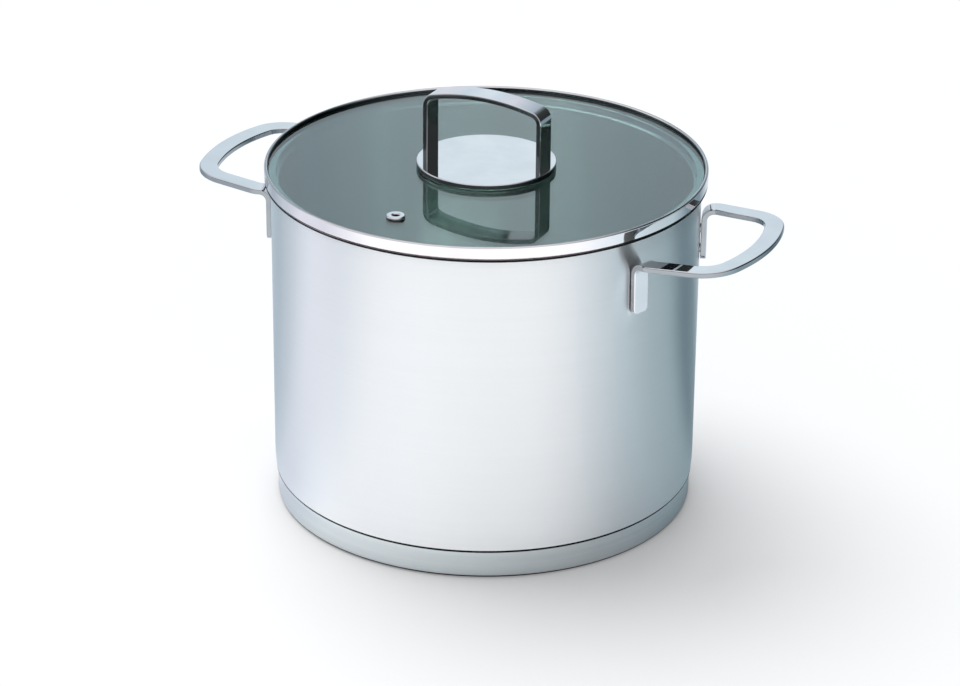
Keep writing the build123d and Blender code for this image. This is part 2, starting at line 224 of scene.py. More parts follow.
@dataclass(frozen=True)
class MirrorSteel(Finish):
    """Austenitic stainless steel, buffed to a mirror.

    It shows crisp, slightly wavy reflections, a haze from buffing and a few hairlines.
    """

    haze_mm: float = 16.0
    ripple_mm: float = 11.0
    ripple_height_mm: float = 0.006
    hairline_mm: float = 0.5  # real ones are about 0.02 mm: drawn coarser so that they show
    hairline_length_mm: float = 14.0
    hairline_turn: tuple[float, float, float] = (0.5, 0.3, 0.7)  # radians round X, Y and Z
    hairline_rough: float = 0.012  # the most that they add to the roughness

    def dress(self, blank: Blank) -> None:
        """Buffing haze, hairlines and a slow ripple.

        Args:
            blank: the nodes to work on.
        """
        tree, place = blank.tree, blank.place
        haze, ripple = (
            add_node(
                tree, "TexNoise", {"Vector": place, "Scale": 1 / (size * MM), "Detail": detail}
            )
            for size, detail in ((self.haze_mm, 4.0), (self.ripple_mm, 1.0))
        )
        sizes = (self.hairline_length_mm, self.hairline_mm, self.hairline_mm)
        drawn_out = add_node(tree, "Mapping", {
            "Vector": place,
            "Rotation": self.hairline_turn,
            "Scale": tuple(1 / (size * MM) for size in sizes),
        })
        lines = add_node(tree, "TexNoise", {"Vector": drawn_out, "Scale": 1.0, "Detail": 2.0})
        scratches = add_node(
            tree, "MapRange", {"Value": lines, **GRAIN_SPAN, "To Max": self.hairline_rough}
        )
        self.vary(blank, haze, ripple, self.ripple_height_mm, scratches)


@dataclass(frozen=True)
class RoundBrushedSteel(Finish):
    """Stainless steel brushed round the axis while it turns.

    Reflections are drawn out into soft upright bands, with faint rings across them.
    """

    streak_mm: float = 1.6  # real brush lines are about 0.05 mm: drawn coarser so that they show
    streak_length_mm: float = 180.0
    streak_height_mm: float = 0.00003
    radius_mm: float = 120.0
    anisotropy: float = 1.0
    draw_turn: float = 0.25  # of a full turn, between brush lines and drawn-out reflections

    def dress(self, blank: Blank) -> None:
        """Rings of brushing, and reflections drawn out across them.

        Args:
            blank: the nodes to work on.
        """
        tree, sockets = blank.tree, blank.shader.inputs
        parts = add_node(tree, "SeparateXYZ", {0: blank.place}).outputs
        flat = add_node(tree, "CombineXYZ", {"X": parts["X"], "Y": parts["Y"]})
        around = add_node(tree, "VectorMath", {0: flat}, operation="NORMALIZE")
        far = add_node(tree, "VectorMath", {0: flat}, operation="LENGTH").outputs["Value"]
        across = add_node(tree, "Math", {0: parts["Z"], 1: far}, operation="ADD")
        density, turns = 1 / (self.streak_mm * MM), self.radius_mm / self.streak_length_mm
        rise = add_node(tree, "Math", {0: across, 1: density}, operation="MULTIPLY")
        lift = add_node(tree, "CombineXYZ", {"Z": rise})
        wide = add_node(tree, "VectorMath", {0: around, "Scale": turns}, operation="SCALE")
        ring_place = add_node(tree, "VectorMath", {0: wide, 1: lift}, operation="ADD")
        rings = add_node(tree, "TexNoise", {"Vector": ring_place, "Scale": 1.0, "Detail": 1.5})
        self.vary(blank, rings, rings, self.streak_height_mm)
        tangent = add_node(tree, "Tangent", direction_type="RADIAL", axis="Z")
        tree.links.new(tangent.outputs[0], sockets["Tangent"])
        sockets["Anisotropic"].default_value = self.anisotropy
        sockets["Anisotropic Rotation"].default_value = self.draw_turn


@dataclass(frozen=True)
class FineGrained(Finish):
    """A surface whose colour, roughness and bump follow one even grain."""

    grain_mm: float = 0.6
    grain_height_mm: float = 0.004
    grain_detail: float = 5.0

    def dress(self, blank: Blank) -> None:
        """One grain for all.

        Args:
            blank: the nodes to work on.
        """
        grain = add_node(blank.tree, "TexNoise", {
            "Vector": blank.place,
            "Scale": 1 / (self.grain_mm * MM),
            "Detail": self.grain_detail,
        })
        self.vary(blank, grain, grain, self.grain_height_mm)


@dataclass(frozen=True)
class GrainedMetal(FineGrained):
    """Metal that was pressed, folded or machined and not polished.

    It looks soft and slightly mottled, without clear reflections.
    """


@dataclass(frozen=True)
class MouldedSilicone(FineGrained):
    """Food-grade silicone, moulded.

    It is matt and dark, with a fine mould grain and a pale bloom.
    """

    metallic: float = 0.0
    grain_mm: float = 0.5
    grain_height_mm: float = 0.01
    grain_detail: float = 3.0


@dataclass(frozen=True)
class TemperedGlass(Finish):
    """Tempered soda-lime glass, 4 mm.

    It is clear with a faint green-grey cast, mirrors the bridge handle, and carries wipe marks.
    """

    metallic: float = 0.0
    smear_mm: float = 30.0
    wave_mm: float = 45.0
    wave_height_mm: float = 0.002
    ior: float = 1.52
    gleam: float = 0.35  # weight of a clear coat, for the gleam of a freshly wiped pane

    def dress(self, blank: Blank) -> None:
        """Wipe marks, roller wave and clear shadows.

        Args:
            blank: the nodes to work on.
        """
        tree, sockets = blank.tree, blank.shader.inputs
        smear, wave = (
            add_node(tree, "TexNoise", {
                "Vector": blank.place, "Scale": 1 / (size * MM), "Detail": detail
            })
            for size, detail in ((self.smear_mm, 3.0), (self.wave_mm, 0.0))
        )
        self.vary(blank, smear, wave, self.wave_height_mm)
        sockets["Transmission Weight"].default_value = 1.0
        sockets["IOR"].default_value = self.ior
        sockets["Coat Weight"].default_value = self.gleam
        sockets["Coat Roughness"].default_value = 0.0
        shadow = add_node(tree, "LightPath").outputs["Is Shadow Ray"]
        clear = add_node(tree, "BsdfTransparent", {"Color": linear(self.colours[0])})
        either = add_node(tree, "MixShader", {0: shadow, 1: blank.shader, 2: clear})
        tree.links.new(either.outputs[0], blank.out.inputs["Surface"])


class Skin(Enum):
    """Every finish on the pot, after the name of the record's slot that it belongs to."""

    MIRROR = "polished_steel", MirrorSteel(
        "mirror_polished_stainless", ("#ECE8E9", "#E4E0E2"), (0.02, 0.06)
    )
    # Greyer copy of the mirror steel: painted shade and dark reflection on the narrow sides of the
    # loop handles.
    PAINTED_SIDE_SHADE = "polished_steel", MirrorSteel(
        "painted_side_shade_stainless", ("#9FA5A9", "#949A9E"), (0.05, 0.1)
    )
    # Darker copy of the mirror steel: painted shade and dark reflection on the edges and narrow
    # sides of polished parts.
    PAINTED_EDGE_SHADE = "polished_steel", MirrorSteel(
        "painted_edge_shade_stainless", ("#6C7376", "#60676A"), (0.05, 0.1)
    )
    # Near-black steel: painted shade in the gaps, grooves and under edges, where the steel is
    # really the same as elsewhere.
    PAINTED_SHADE = "polished_steel", GrainedMetal(
        "painted_shade_stainless", ("#202325", "#181A1C"), (0.4, 0.5)
    )
    WALL = "satin_steel", RoundBrushedSteel(
        "satin_brushed_stainless", ("#FCFEFF", "#FBFDFE"), (0.396, 0.406)
    )
    INSIDE = "satin_steel", RoundBrushedSteel(
        "inside_brushed_stainless", ("#DFE2E0", "#D2D5D3"), (0.15, 0.19)
    )
    BAND = "satin_steel", RoundBrushedSteel(
        "polished_foot_stainless", ("#CDD3D5", "#C6CDCF"), (0.16, 0.2), anisotropy=0.6
    )
    SOLE = "satin_steel", RoundBrushedSteel(
        "ground_sole_stainless",
        ("#D2D4D6", "#BFC2C5"),
        (0.3, 0.42),
        streak_mm=1.2,
        streak_height_mm=0.004,
    )
    CORE = "aluminium", GrainedMetal("pressed_aluminium", ("#D5D7D9", "#C4C6C9"), (0.35, 0.5))
    GLASS = "tinted_glass", TemperedGlass(
        "tempered_soda_lime_glass", ("#B4CCC8", "#AFC7C3"), (0.0, 0.004)
    )
    SEAL = "silicone", MouldedSilicone("moulded_silicone", ("#1D1F20", "#2E3133"), (0.5, 0.65))
    SCREW = "fastener_steel", GrainedMetal(
        "machined_fastener_stainless", ("#C6C8CA", "#B7B9BC"), (0.2, 0.3)
    )

    def __init__(self, slot: str, finish: Finish) -> None:
        """Keep a finish with the slot that it belongs to.

        Args:
            slot: the record's material slot.
            finish: what the surface is made of.
        """
        self.slot = slot
        self.finish = finish


# ---- outlines ----
@dataclass(frozen=True)
class Run:
    """Part of a closed outline in radius and height, in one finish."""

    skin: Skin
    points: list[Point]


def arc(start: Point, heading: Point, end: Point, steps: int = BEND_STEPS) -> list[Point]:
    """Points of the arc that leaves start along heading and arrives at end.

    Args:
        start: where the arc begins.
        heading: its direction there, of any length.
        end: where it ends.
        steps: number of straight pieces.

    Returns:
        The points, both ends included.
    """
    size = math.hypot(*heading)
    hx, hy = heading[0] / size, heading[1] / size
    cx, cy = end[0] - start[0], end[1] - start[1]
    turn = math.atan2(hx * cy - hy * cx, hx * cx + hy * cy)
    radius = math.hypot(cx, cy) / (2 * math.sin(turn))
    points = []
    for step in range(steps + 1):
        angle = 2 * turn * step / steps
        ahead, aside = radius * math.sin(angle), radius * (1 - math.cos(angle))
        points.append((start[0] + ahead * hx - aside * hy, start[1] + ahead * hy + aside * hx))
    return points


def toward(start: Point, end: Point, step: float) -> Point:
    """Go a given way along a line.

    Args:
        start: where the line begins.
        end: where it ends.
        step: how far to go.

    Returns:
        The point there.
    """
    share = step / math.dist(start, end)
    return start[0] + (end[0] - start[0]) * share, start[1] + (end[1] - start[1]) * share


def held(points: Sequence[Point]) -> list[Point]:
    """Add a point just inside each end of a straight line, so that its surface stays flat.

    Args:
        points: the two ends of the line.

    Returns:
        Four points, or the two ends of a line too short for more.
    """
    first, last = points
    if math.dist(first, last) < 3 * HOLD:
        return [first, last]
    return [first, toward(first, last, HOLD), toward(last, first, HOLD), last]


def rounded(corners: Sequence[tuple[float, float, float]], steps: int = SMALL_STEPS) -> list[Point]:
    """Round the corners of a closed outline.

    Args:
        corners: radius from the axis, height, and the size of the rounding.
        steps: number of straight pieces in each rounding.

    Returns:
        The points in order, without a repeated last point.
    """
    found: list[Point] = []
    for index, (x, y, size) in enumerate(corners):
        if size == 0:
            found.append((x, y))
            continue
        before, after = corners[index - 1][:2], corners[(index + 1) % len(corners)][:2]
        ax, ay = before[0] - x, before[1] - y
        bx, by = after[0] - x, after[1] - y
        opening = math.atan2(abs(ax * by - ay * bx), ax * bx + ay * by)
        reach = size / math.tan(opening / 2)
        start, end = toward((x, y), before, reach), toward((x, y), after, reach)
        if math.hypot(ax, ay) > reach + 2 * HOLD:
            found.append(toward((x, y), before, reach + HOLD))
        found += arc(start, (-ax, -ay), end, steps)
        if math.hypot(bx, by) > reach + 2 * HOLD:
            found.append(toward((x, y), after, reach + HOLD))
    return found


# ---- meshes ----
def put_in_scene(name: str, data: bpy.types.ID) -> Piece:
    """Make an object of a mesh, a lamp or a camera, and link it.

    Args:
        name: the object's name.
        data: what the object shows.

    Returns:
        The object.
    """
    made = bpy.data.objects.new(name, data)
    bpy.context.scene.collection.objects.link(made)
    return made


def finish_mesh(mesh: bmesh.types.BMesh, name: str, skins: Sequence[Skin]) -> Piece:
    """Turn a mesh in millimetres into an object in metres, dressed and smooth-shaded.

    Args:
        mesh: the mesh, which is used up.
        name: the object's name.
        skins: the finishes, in the order of the faces' material numbers.

    Returns:
        The object, in the scene.
    """
    bmesh.ops.remove_doubles(mesh, verts=mesh.verts, dist=TOUCH)
    bmesh.ops.recalc_face_normals(mesh, faces=mesh.faces)
    bmesh.ops.scale(mesh, vec=(MM, MM, MM), verts=mesh.verts)
    data = bpy.data.meshes.new(name)
    mesh.to_mesh(data)
    mesh.free()
    for face in data.polygons:
        face.use_smooth = True
    data.set_sharp_from_angle(angle=SHARP)
    for skin in skins:
        data.materials.append(skin.finish.material())
    return put_in_scene(name, data)


def spin(name: str, runs: Sequence[Run], facets: int = FACETS) -> Piece:
    """Spin a closed outline round the Z axis.

    Args:
        name: the object's name.
        runs: the outline, run after run; the last point joins the first.
        facets: steps round the axis.

    Returns:
        The object.
    """
    skins = list(dict.fromkeys(run.skin for run in runs))
    outline: list[tuple[Point, int]] = []
    for run in runs:
        for point in run.points:
            if not outline or math.dist(point, outline[-1][0]) > TOUCH:
                outline.append((point, skins.index(run.skin)))
    mesh = bmesh.new()
    rings = []
    for (radius, height), _ in outline:
        turns = [2 * math.pi * step / facets for step in range(facets if radius > TOUCH else 1)]
        rings.append([
            mesh.verts.new((radius * math.cos(turn), radius * math.sin(turn), height))
            for turn in turns
        ])
    for index, ring in enumerate(rings):
        previous, number = rings[index - 1], outline[index][1]
        if len(ring) == 1 and len(previous) == 1:
            continue
        for step in range(facets):
            after = (step + 1) % facets
            corners = [
                ring[step % len(ring)],
                ring[after % len(ring)],
                previous[after % len(previous)],
                previous[step % len(previous)],
            ]
            face = mesh.faces.new(list(dict.fromkeys(corners)))
            face.material_index = number
    return finish_mesh(mesh, name, skins)


@dataclass(frozen=True)
class Station:
    """One place along a strip: its middle, where it runs to, where its face looks, its section."""

    middle: Vector
    along: Vector
    face: Vector
    width: float
    thick: float
    edge: float

    @property
    def across(self) -> Vector:
        """The direction of the strip's width."""
        return self.face.cross(self.along).normalized()

    def section(self, steps: int) -> list[Vector]:
        """The rounded rectangle round the strip here.

        Args:
            steps: number of straight pieces in each rounded edge.

        Returns:
            The points, the same number at every station.
        """
        across = self.across
        half_w, half_t = self.width / 2, self.thick / 2
        edge = min(self.edge, half_w, half_t)
        hold_w = max(0.0, min(HOLD, (half_w - edge) / 2))
        hold_t = max(0.0, min(HOLD, (half_t - edge) / 2))
        found = []
        for quarter, (side_w, side_t) in enumerate(((1, 1), (-1, 1), (-1, -1), (1, -1))):
            middle_w, middle_t = side_w * (half_w - edge), side_t * (half_t - edge)
            angles = [math.radians(90 * (quarter + step / steps)) for step in range(steps + 1)]
            turn = [(middle_w + edge * math.cos(a), middle_t + edge * math.sin(a)) for a in angles]
            holds = (0, -side_t * hold_t), (-side_w * hold_w, 0)
            if quarter % 2:
                holds = holds[::-1]
            turn.insert(0, (turn[0][0] + holds[0][0], turn[0][1] + holds[0][1]))
            turn.append((turn[-1][0] + holds[1][0], turn[-1][1] + holds[1][1]))
            found += [self.middle + across * x + self.face * y for x, y in turn]
        return found


def mirrored(half: Sequence[Station], flip: Matrix) -> list[Station]:
    """Complete a strip of which one half is known.

    Args:
        half: its stations from one end to the mirror plane.
        flip: the mirroring.

    Returns:
        All stations, from end to end.
    """
    return [*half, *(
        replace(s, middle=flip @ s.middle, along=-(flip @ s.along), face=flip @ s.face)
        for s in reversed(half[:-1])
    )]


def sweep(
    name: str, stations: Sequence[Station], skin: Skin, side: Skin, steps: int = 5
) -> Piece:
    """Join the sections along a strip into one closed piece.

    Args:
        name: the object's name.
        stations: the places along the strip, from end to end.
        skin: the finish of its two broad faces.
        side: the finish of its narrow sides, a darker one that paints their shade.
        steps: straight pieces in each rounded edge.

    Returns:
        The object.
    """
    mesh = bmesh.new()
    loops = [[mesh.verts.new(p) for p in station.section(steps)] for station in stations]
    for station, first, second in zip(stations, loops, loops[1:]):
        for index in range(len(first)):
            before = index - 1
            face = mesh.faces.new((first[before], first[index], second[index], second[before]))
            face.normal_update()
            face.material_index = int(abs(face.normal.dot(station.across)) > SIDEWAYS)
    mesh.faces.new(loops[0])
    mesh.faces.new(reversed(loops[-1]))
    return finish_mesh(mesh, name, [skin, side])


def settle(piece: Piece, body: str, skin: Skin, *nodes: str) -> None:
    """Put a finished piece on its body, in place of the solids it stands for.

    Args:
        piece: the piece.
        body: the body it moves with.
        skin: its main finish; not used.
        *nodes: the solids that it replaces.
    """
    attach(piece, body)
    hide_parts(*nodes)
    log.info("%s: %d faces, rides on %s", piece.name, len(piece.data.polygons), body)


def dress_node(node: str, skin: Skin) -> None:
    """Give a solid that stays as it is its finish.

    Args:
        node: the solid's name.
        skin: its finish.
    """
    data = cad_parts[node].data
    data.materials.clear()
    data.materials.append(skin.finish.material())
    log.info("%s: kept, finished as %s", node, skin.finish.name)


# ---- pot ----
@dataclass
class Shell:
    """The deep-drawn wall and floor, with the rim curled outwards for pouring."""

    height: float = RIM_Z
    wall_r: float = WALL_R
    sheet: float = 1.0
    curl_r: float = 2.5
    rim_out: float = 3.3
    rim_edge_r: float = 0.35
    turn_top: float = 29.0
    turn_in: float = 0.6
    turn_in_inside: float = 2.2
    groove_top: float = 16.8
    painted_shade_h: float = 0.7  # a ring this tall at the foot of the wall is painted near black, as the shade where the capsule is pressed on
    under_r: float = 118.6
    under_z: float = 7.0

    def outside(self) -> list[Point]:
        """The wall from the groove up to the curl.

        Returns:
            The points.
        """
        low = (self.wall_r - self.turn_in, self.groove_top + self.painted_shade_h)
        turn = arc((self.wall_r, self.turn_top), (0, -1), low)[::-1]
        return turn + held([(self.wall_r, self.turn_top), (self.wall_r, self.height - self.curl_r)])

    def rim(self) -> list[Run]:
        """The curl, out to the pouring edge and back inside.

        Returns:
            Its underside and cut edge, painted near black as the shade under the lid, and its
            bright top.
        """
        inside_r = self.wall_r - self.sheet
        centre_r = inside_r + self.curl_r
        curl_z = self.height - self.curl_r
        out_r, edge = self.wall_r + self.rim_out, self.rim_edge_r
        low = self.height - self.sheet
        # The underside of the curl and the cut edge are painted near black, as shade under the lid.
        under = [
            *arc((self.wall_r, curl_z), (0, 1), (centre_r, low)),
            *arc((out_r - edge, low), (1, 0), (out_r, low + edge), EDGE_STEPS),
            *arc((out_r, self.height - edge), (0, 1), (out_r - edge, self.height), EDGE_STEPS),
        ]
        curl = arc((centre_r, self.height), (-1, 0), (inside_r, curl_z))
        return [Run(Skin.PAINTED_SHADE, under), Run(Skin.MIRROR, curl)]

    def inside(self) -> list[Point]:
        """The inner wall, its slow turn, the corner and the floor.

        Returns:
            The points, from the curl to the axis.
        """
        inside_r = self.wall_r - self.sheet
        floor_z = self.under_z + self.sheet
        low = (inside_r - self.turn_in_inside, self.groove_top)
        turn = arc((inside_r, self.turn_top), (0, -1), low)
        heading = (turn[-1][0] - turn[-2][0], turn[-1][1] - turn[-2][1])
        lean = heading[0] / math.hypot(*heading)
        corner_r = (self.groove_top - floor_z) / (1 + lean)
        floor_start = low[0] - corner_r * math.sqrt(1 - lean * lean)
        corner = arc(low, heading, (floor_start, floor_z), CORNER_STEPS)
        wall = held([(inside_r, self.height - self.curl_r), (inside_r, self.turn_top)])
        return wall + turn + corner + [(floor_start - HOLD, floor_z), (0.0, floor_z)]

    def underside(self) -> list[Point]:
        """The floor seen from below, and the corner that the core is pressed round.

        Returns:
            The points, from the axis to the groove.
        """
        corner_r = self.groove_top - self.under_z
        start = (self.under_r - corner_r, self.under_z)
        corner = arc(start, (1, 0), (self.under_r, self.groove_top), CORNER_STEPS)
        return [(0.0, self.under_z), *corner, (self.wall_r - self.turn_in, self.groove_top)]

    def make(self) -> None:
        """Build the shell and put it on the pot."""
        shell = spin("drawn_shell", [
            Run(Skin.WALL, self.underside()),
            # A thin ring at the foot of the wall, painted near black as shade in the groove.
            Run(Skin.PAINTED_SHADE, [(self.wall_r - self.turn_in, self.groove_top + self.painted_shade_h)]),
            Run(Skin.WALL, self.outside()),
            *self.rim(),
            Run(Skin.INSIDE, self.inside()),
        ])
        settle(shell, "pot", Skin.WALL, "pot_shell")


@dataclass
class CapsuleBase:
    """The steel capsule round the foot, and the aluminium core inside it."""

    band_h: float = 16.0
    band_r: float = 119.2
    skin_t: float = 0.6
    edge_r: float = 2.6
    lip_r: float = 0.2
    corner_steps: int = 12
    painted_shade_steps: int = 10  # of the corner's steps, painted near black as the shade under the foot
    bead_r: float = 88.0
    bead_w: float = 2.4
    bead_depth: float = 0.25
    bead_slope: float = 0.25  # share of a bead's width in each of its slopes
    bead_spacing: float = 26.0

    def make(self) -> None:
        """Build the capsule, put it on the pot, and dress the core."""
        inner_r = self.band_r - self.skin_t
        inner_edge = self.edge_r - self.skin_t
        outer_bead = self.bead_r - self.bead_w / 2
        slope = self.bead_w * self.bead_slope
        sole = [(0.0, 0.0)]
        for start in (outer_bead - self.bead_spacing, outer_bead):
            end = start + self.bead_w
            sole += [
                (start, 0.0),
                (start + slope, self.bead_depth),
                (end - slope, self.bead_depth),
                (end, 0.0),
            ]
        sole.append((self.band_r - self.edge_r - HOLD, 0.0))
        corner_start = (self.band_r - self.edge_r, 0.0)
        corner = arc(corner_start, (1, 0), (self.band_r, self.edge_r), self.corner_steps)
        top, lip = self.band_h, self.lip_r
        # The lip and top of the band are painted near black, as shade in the groove.
        seam = [
            *arc((self.band_r, top - lip), (0, 1), (self.band_r - lip, top), EDGE_STEPS),
            (inner_r, top),
        ]
        foot = (inner_r - inner_edge, self.skin_t)
        inside = [*arc((inner_r, self.edge_r), (0, -1), foot, SMALL_STEPS), (0.0, self.skin_t)]
        capsule = spin("capsule_foot", [
            Run(Skin.SOLE, sole),
            # The lower part of the corner is painted near black, as shade under the foot.
            Run(Skin.PAINTED_SHADE, corner[:self.painted_shade_steps]),
            Run(Skin.BAND, corner[self.painted_shade_steps:]),
            Run(Skin.BAND, held([corner[-1], (self.band_r, top - lip)])),
            Run(Skin.PAINTED_SHADE, seam),
            Run(Skin.BAND, inside),
        ])
        settle(capsule, "pot", Skin.BAND, "base_cap")
        dress_node("base_core", Skin.CORE)


@dataclass
class LoopHandle:
    """A side handle: one flat strip, bent down at both ends into tabs on the wall."""

    wall_r: float = WALL_R
    rim_z: float = RIM_Z
    width: float = 10.7
    thick: float = 3.2
    edge_r: float = 0.7
    drop: float = 13.4
    reach: float = 51.5
    arm_spacing: float = 86.4
    splay: float = 5.5
    bow_r: float = 109.0
    corner_r: float = 19.5
    tilt: float = 2.5
    knee_r: float = 7.0
    lead: float = 2.0
    bend_r: float = 4.0
    tab_drop: float = 44.1
    tab_corner_r: float = 3.5
    tab_corner_steps: int = 12
    least_edge_r: float = 0.02
    weld_gap: float = 0.5
    turn_step: float = 3.0  # degrees between stations on a bend

    def __post_init__(self) -> None:
        """Work out the places that the strip goes through."""
        self.plain = (self.width, self.thick, self.edge_r)
        self.top_z = self.rim_z - self.drop
        self.bend_z = self.top_z - self.thick - self.bend_r
        self.tab_in_r = self.wall_r + self.weld_gap
        self.bend_end_r = self.tab_in_r + self.thick + self.bend_r
        self.knee_at_r = self.bend_end_r + self.lead
        self.middle_bow_r = self.bow_r - self.width / 2
        self.bow_centre = Vector((self.wall_r + self.reach - self.bow_r, 0))
        half = self.arm_spacing / 2
        rise = math.sqrt(self.middle_bow_r ** 2 - half ** 2)
        self.corner = self.bow_centre + Vector((rise, half))
        splay = math.radians(self.splay)
        offset = self.corner.y * math.cos(splay) + self.corner.x * math.sin(splay)
        self.tab_angle = math.asin(offset / self.knee_at_r) - splay
        self.lean = math.atan(math.tan(math.radians(self.tilt)) * math.cos(self.tab_angle))

    def tab(self) -> list[Station]:
        """The tab from its foot up, and the bend that turns it outwards.

        Returns:
            The stations, before the handle is tilted.
        """
        radial = Vector((math.cos(self.tab_angle), math.sin(self.tab_angle), 0))
        out = radial * math.cos(self.lean) - UP * math.sin(self.lean)
        up = radial * math.sin(self.lean) + UP * math.cos(self.lean)
        centre = radial * self.bend_end_r + UP * self.bend_z
        middle_r = self.bend_r + self.thick / 2
        tab_top = centre - out * middle_r
        length = (self.bend_z - (self.rim_z - self.tab_drop)) / math.cos(self.lean)
        corner, edge = self.tab_corner_r, self.edge_r
        ways = {
            round(size * (1 - math.cos(math.radians(90 * step / steps))), PLACES)
            for size, steps in ((edge, EDGE_STEPS), (corner, self.tab_corner_steps))
            for step in range(steps + 1)
        }
        found = []
        for way in sorted(ways):
            narrow = corner - math.sqrt(max(0.0, corner ** 2 - max(0.0, corner - way) ** 2))
            thin = edge - math.sqrt(max(0.0, edge ** 2 - max(0.0, edge - way) ** 2))
            found.append(Station(
                tab_top - up * (length - way),
                up,
                -out,
                self.width - 2 * narrow - (2 * thin if way < edge else 0.0),
                self.thick - 2 * thin,
                max(self.least_edge_r, edge - thin),
            ))
        found.append(Station(tab_top - up * HOLD, up, -out, *self.plain))
        turn = math.pi / 2 - self.lean
        steps = max(2, round(math.degrees(turn) / (2 * self.turn_step)))
        for step in range(steps + 1):
            angle = turn * step / steps
            face = -out * math.cos(angle) + up * math.sin(angle)
            along = up * math.cos(angle) + out * math.sin(angle)
            found.append(Station(centre + face * middle_r, along, face, *self.plain))
        return found

    def plan(self) -> Course:
        """The middle line of one arm and half of the bowed grip, seen from above.

        Returns:
            The line, from the bend outwards.
        """
        radial = Vector((math.cos(self.tab_angle), math.sin(self.tab_angle)))
        knee = radial * self.knee_at_r
        arm = (self.corner - knee).normalized()
        inward = Vector((arm.y, -arm.x))
        bend = radial.angle_signed(arm)  # clockwise is positive
        reach = self.knee_r * math.tan(abs(bend) / 2)
        start, end = knee - radial * reach, knee + arm * reach
        middle = start + Vector((radial.y, -radial.x)) * math.copysign(self.knee_r, bend)
        offset = knee + inward * self.corner_r - self.bow_centre
        ring = self.middle_bow_r - self.corner_r
        along = offset.dot(arm)
        way = -along + math.sqrt(along ** 2 - offset.length_squared + ring ** 2)
        first = knee + arm * way
        centre = first + inward * self.corner_r
        last = self.bow_centre + (centre - self.bow_centre) * (self.middle_bow_r / ring)
        leave = math.atan2(*(last - self.bow_centre).yx)
        onward = Vector((math.sin(leave), -math.cos(leave)))
        turn = math.pi / 2 - leave + math.atan2(arm.y, arm.x)
        return [
            (radial * (self.bend_end_r + HOLD), radial),
            *self.swing(middle, start, radial, bend, self.turn_step),
            (end + arm * HOLD, arm),
            (first - arm * HOLD, arm),
            *self.swing(centre, first, arm, turn, self.turn_step),
            *self.swing(self.bow_centre, last, onward, leave, self.turn_step / 2)[1:],
        ]

    def swing(
        self, centre: Vector, start: Vector, along: Vector, turn: float, coarse: float
    ) -> Course:
        """Lead a line round a centre.

        Args:
            centre: the centre.
            start: where the turn begins.
            along: the way that the line goes there.
            turn: radians, clockwise.
            coarse: degrees between points.

        Returns:
            The turn, both ends included.
        """
        steps = max(2, round(math.degrees(abs(turn)) / coarse))
        turns = [Matrix.Rotation(-turn * step / steps, 2) for step in range(steps + 1)]
        return [(centre + turned @ (start - centre), turned @ along) for turned in turns]

    def stations(self) -> list[Station]:
        """Every station of the right-hand handle, tilted, from foot to foot.

        Returns:
            The stations.
        """
        middle = UP * (self.top_z - self.thick / 2)
        half = self.tab() + [
            Station(point.to_3d() + middle, along.to_3d(), UP, *self.plain)
            for point, along in self.plan()
        ]
        pivot = Vector((self.tab_in_r * math.cos(self.tab_angle), 0, self.bend_z))
        tilt = Matrix.Rotation(-math.radians(self.tilt), 3, "Y")
        return [
            replace(
                at,
                middle=pivot + tilt @ (at.middle - pivot),
                along=tilt @ at.along,
                face=tilt @ at.face,
            )
            for at in mirrored(half, Matrix.Diagonal((1, -1, 1)))
        ]

    def make(self) -> None:
        """Build both handles, put them on the pot, and dress their welds."""
        for side, turn in (("right", 0.0), ("left", math.pi)):
            # The narrow sides get the greyer finish: painted shade.
            handle = sweep(f"loop_handle_{side}", self.stations(), Skin.MIRROR, Skin.PAINTED_SIDE_SHADE)
            handle.data.transform(Matrix.Rotation(turn, 4, "Z"))
            settle(handle, "pot", Skin.MIRROR, f"side_handle_{side}")
            dress_node(f"handle_welds_{side}", Skin.SCREW)


